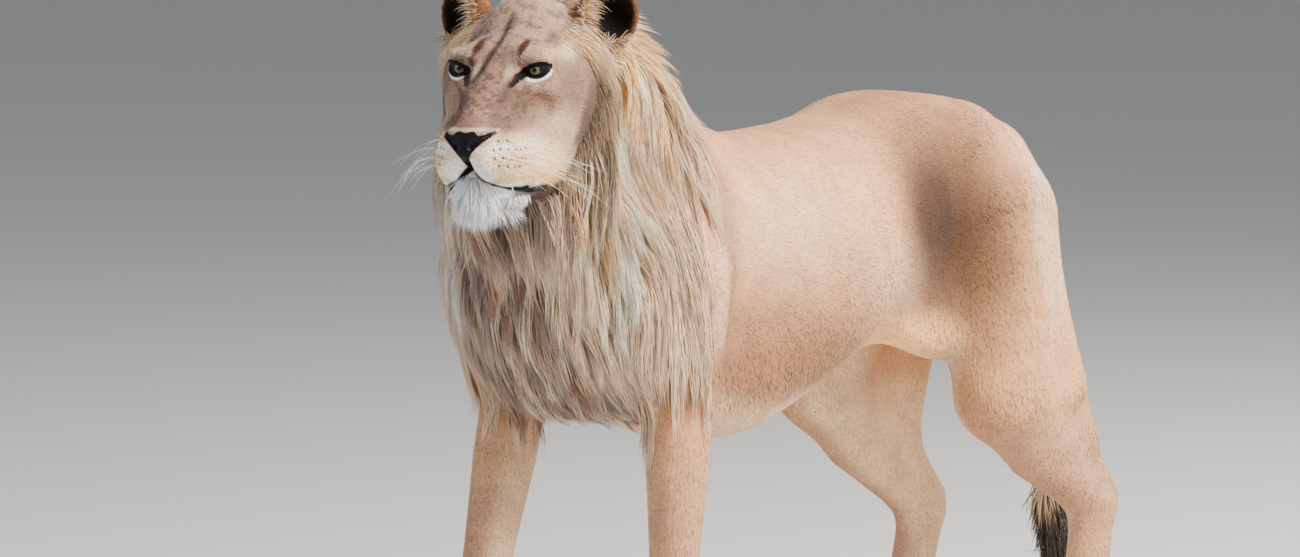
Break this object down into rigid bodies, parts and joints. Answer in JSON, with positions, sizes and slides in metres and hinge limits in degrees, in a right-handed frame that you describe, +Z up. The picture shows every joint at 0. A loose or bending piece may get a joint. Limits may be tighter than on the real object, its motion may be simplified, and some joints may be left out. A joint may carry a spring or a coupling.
{
  "type": "lion",
  "caption": "Standing young male lion, life size, head turned slightly to its left, mane over neck and chest, legs in a steady stance, tail hanging to a tufted end.",
  "frame": {"origin": "on the floor, under the middle of the lion's bounding box", "axes": "+Z up, the lion faces -Y, its left side is +X"},
  "size_m": [0.499, 2.0422, 1.3151],
  "materials": {
    "coat": "short sandy fur, matt",
    "mane": "long blond to brown hair, soft sheen",
    "eye": "wet, clear cornea over an olive-yellow iris",
    "nose_leather": "fine-grained, slightly moist"
  },
  "bodies": {
    "root": {"chest": "coat", "ear_left": "coat", "ear_right": "coat", "eye_left": "eye", "eye_right": "eye", "forearm_left": "coat", "forearm_right": "coat", "forepaw_left": "coat", "forepaw_right": "coat", "head": "coat", "hindfoot_left": "coat", "hindfoot_right": "coat", "hindpaw_left": "coat", "hindpaw_right": "coat", "loin": "coat", "lower_jaw": "coat", "neck": "mane", "nose": "nose_leather", "ribs": "coat", "rump": "coat", "shank_left": "coat", "shank_right": "coat", "tail_end": "coat", "tail_middle": "coat", "tail_tuft": "mane", "thigh_left": "coat", "thigh_right": "coat", "upper_arm_left": "coat", "upper_arm_right": "coat"}
  },
  "joints": []
}
